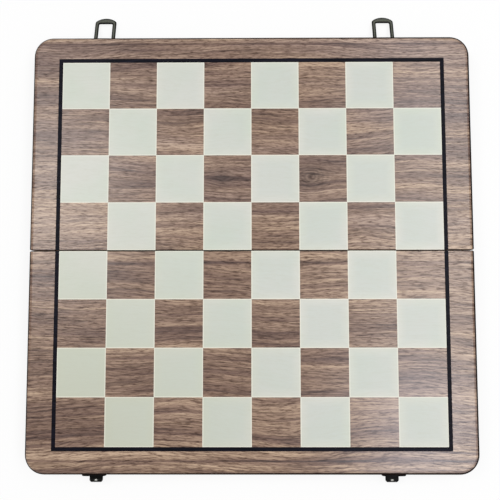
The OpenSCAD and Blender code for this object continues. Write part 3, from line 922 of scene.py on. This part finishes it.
# The shoulder, and then the tongue, thinning towards the curl
hasp_path += [(0.6, wing_z - 0.1, 6, hasp_thick, 180), (0.62, wing_z - 0.4, tongue_half, 1.15, 180),
              (0.75, pivot_z + 1.3, tongue_half, 0.95, 180)]
hasp_path += curved(pivot_out, pivot_z, curl_inside + curl_thick / 2, curl_start, curl_start + curl_turn, 20,
                    tongue_half, curl_thick)

for side in SIDES:
    at_x = pivots[side].x
    make_strip(side + "_catch_strip", "front_tray", side + "_catch", at_x, -1, catch_path, black_bronze)
    make_strip(side + "_hasp_strip", "back_tray", side + "_hasp_plate", at_x, 1, hasp_path, wall_bronze)
print("a hasp plate has", len(hasp_path), "stations")

# %% [markdown]
# ## Latch screws
# A raised countersunk screw is a stack of circles, from its point up to its domed head. The ring of faces
# round the cap and the cap itself are then sunk where the cross recess is: four faces of the ring, a
# quarter turn apart, and the cap between them. The shank is inside the wood and only needs a plain shape.
# Neighbouring screws stop at different turns.

# %% Make the latch screws
head_r = 2.0
shank_r = 1.1
screw_inset = 2.8
screw_drop = 3.8
recess_depth = 0.7
screw_spins = {"left": (-8, 42), "right": (32, 82)}
# Height above the plate and radius, from the point to the middle of the head
screw_profile = [
    (-8, 0.3), (-6.4, shank_r), (-0.9, shank_r), (-0.02, head_r),
    (0.12, 1.96), (0.28, 1.7), (0.38, 1.35), (0.43, 0.5)]


def add_screw(mesh, head, outwards, spin):
    turn = Matrix.Rotation(math.radians(spin), 4, outwards)
    across, through = turn @ X_AXIS, turn @ outwards.cross(X_AXIS)
    stack = [station(head + outwards * up, across * r, through * r) for up, r in screw_profile]
    cap = sweep(mesh, stack, segments=16)[-1]
    around = [face for edge in cap.edges for face in edge.link_faces if face is not cap]
    recess = [cap] + around[::4]
    sunk = bmesh.ops.extrude_face_region(mesh, geom=recess)["geom"]
    bmesh.ops.delete(mesh, geom=recess, context="FACES")
    floor = [part for part in sunk if isinstance(part, bmesh.types.BMVert)]
    bmesh.ops.translate(mesh, vec=outwards * -recess_depth, verts=floor)


def make_screws(kind, body, facing, top, thick, half, material):
    mesh = bmesh.new()
    for side in SIDES:
        for way, spin in zip((-1, 1), screw_spins[side]):
            x = pivots[side].x + way * (half - screw_inset)
            head = Vector((x, facing * (end_y + thick), top - screw_drop))
            add_screw(mesh, head, Vector((0, facing, 0)), spin)
    keep_piece(mesh, kind + "_screw_heads", body, kind + "_screws", material, sharp=50.0)


make_screws("catch", "front_tray", -1, catch_top, catch_thick, catch_half, black_bronze)
make_screws("hasp", "back_tray", 1, hasp_top, hasp_thick, hasp_half, wall_bronze)
print("eight latch screws made")

# %% [markdown]
# ## The world
# The world is white where it is seen, and dimmer as a light. From below it is brighter, as the light
# that a white table throws back. Light Path says what kind of ray is asking.

# %% Make the world
sky_level = 0.45
table_level = 0.8


def seen_ray(tree):
    """1 for a ray that shows the studio itself, straight, in a reflection or through glass."""
    ray = put(tree, "ShaderNodeLightPath").outputs
    mirrored = calc(tree, "MAXIMUM", ray["Is Glossy Ray"], ray["Is Transmission Ray"])
    return calc(tree, "MAXIMUM", ray["Is Camera Ray"], mirrored)


world = bpy.data.worlds.new("studio")
world.use_nodes = True
tree = world.node_tree
tree.nodes.clear()
direction = axes(tree, put(tree, "ShaderNodeTexCoord").outputs["Generated"])
level = span(tree, direction["Z"], -0.1, 0.1, table_level, sky_level)
strength = calc(tree, "MAXIMUM", level, seen_ray(tree))
background = put(tree, "ShaderNodeBackground", {"Color": (1, 1, 1, 1), "Strength": strength})
put(tree, "ShaderNodeOutputWorld", {"Surface": background.outputs[0]})
bpy.context.scene.world = world
print("world of", sky_level, "above and", table_level, "below")

# %% [markdown]
# ## Lamps
# A flat board shows the lamps as a soft sheen, where the mirror direction meets a lamp. In the picture
# the sheen lies on the left and the right and the middle is clear, so there is a soft lamp on each side.
# On the left it is a patch near the back. On the right it runs the whole way from front to back, so that
# lamp is long that way. With the world they light a level surface at about 1, where a colour renders as
# it is written.

# %% Make the lamps
def lamp(name, place, size, watts):
    light = bpy.data.lights.new(name, "AREA")
    light.shape = "RECTANGLE"
    light.size, light.size_y = size
    light.energy = watts
    holder = bpy.data.objects.new(name, light)
    holder.location = place
    holder.rotation_euler = (-Vector(place)).to_track_quat("-Z", "Y").to_euler()
    bpy.context.scene.collection.objects.link(holder)


lamp("left_softbox", (-0.68, 0.29, 1.5), size=(0.6, 0.55), watts=7.2)
lamp("right_softbox", (0.64, 0.0, 1.5), size=(1.5, 0.5), watts=13.2)
bpy.context.scene.view_settings.view_transform = "Standard"
print("two softboxes made")

# %% [markdown]
# ## The table
# The table is a plain white disc that fades out at its rim. For a ray that is seen it is mostly plain
# white with a share of lit surface, which keeps a soft shadow and stays close to the white of the picture.
# Other rays pass it, so the light of the world also reaches the underside of the box.

# %% Make the table's paper
table_radius = 1.2
fade_radius = 0.4 * table_radius
plain_share = 0.85
paper, tree, shader, place = new_material("white_table")
tree.nodes.remove(shader)
from_above = calc(tree, "SUBTRACT", 1.0, put(tree, "ShaderNodeNewGeometry").outputs["Backfacing"])
flat_place = vector_calc(tree, "MULTIPLY", place, (MM, MM, 0.0))
inside = span(tree, vector_calc(tree, "LENGTH", flat_place), fade_radius, table_radius, 1.0, 0.0)
shown = calc(tree, "MULTIPLY", calc(tree, "MULTIPLY", seen_ray(tree), from_above), inside)
lit = put(tree, "ShaderNodeBsdfDiffuse", {"Color": (0.92, 0.92, 0.92, 1)}).outputs[0]
plain = put(tree, "ShaderNodeEmission", {"Color": (1, 1, 1, 1)}).outputs[0]
surface = put(tree, "ShaderNodeMixShader", {0: plain_share, 1: lit, 2: plain}).outputs[0]
open_air = put(tree, "ShaderNodeBsdfTransparent").outputs[0]
faded = put(tree, "ShaderNodeMixShader", {0: shown, 1: open_air, 2: surface}).outputs[0]
tree.links.new(faded, tree.nodes["Material Output"].inputs["Surface"])
print("paper fades from", fade_radius, "m to", table_radius, "m")

# %% [markdown]
# ## The disc
# A square sheet would show its corners as it fades, and a round one fades evenly.

# %% Make the disc
disc = bmesh.new()
bmesh.ops.create_circle(disc, cap_ends=True, segments=96, radius=table_radius)
mesh = bpy.data.meshes.new("table")
disc.to_mesh(mesh)
disc.free()
mesh.materials.append(paper)
table = bpy.data.objects.new("table", mesh)
bpy.context.scene.collection.objects.link(table)
print("table", 2 * table_radius, "m across")

# %% [markdown]
# ## Keep the table under the box
# The back tray swings down below the table as the box shuts. A few geometry nodes keep the table under
# the lowest piece instead, as if the box were lifted, so nothing is hidden at any pose. They read where
# the pieces are that can be the lowest, take the lowest corner of the box round them all, and lower the
# table to it.

# %% Lower the table to the lowest piece
under = bpy.data.node_groups.new("keep under", "GeometryNodeTree")
for end in ("INPUT", "OUTPUT"):
    under.interface.new_socket("Geometry", in_out=end, socket_type="NodeSocketGeometry")
joined = put(under, "GeometryNodeJoinGeometry")
for name in ("left_hinge_front_leaf", "back_walnut_veneer", "left_bail", "right_bail"):
    can_be_lowest = put(under, "GeometryNodeObjectInfo", {"Object": nodes[name]}, transform_space="RELATIVE")
    under.links.new(can_be_lowest.outputs["Geometry"], joined.inputs[0])
extent = put(under, "GeometryNodeBoundBox", {"Geometry": joined.outputs[0]})
lowest = vector_of(under, Z=axes(under, extent.outputs["Min"])["Z"])
source = put(under, "NodeGroupInput").outputs[0]
settled = put(under, "GeometryNodeSetPosition", {"Geometry": source, "Offset": lowest})
put(under, "NodeGroupOutput", {0: settled.outputs[0]})
table.modifiers.new("keep under", "NODES").node_group = under
print("table at", round(table_z, 2), "mm when the box lies open")

# %% [markdown]
# ## Finish

# %% Finish
print("scene built")
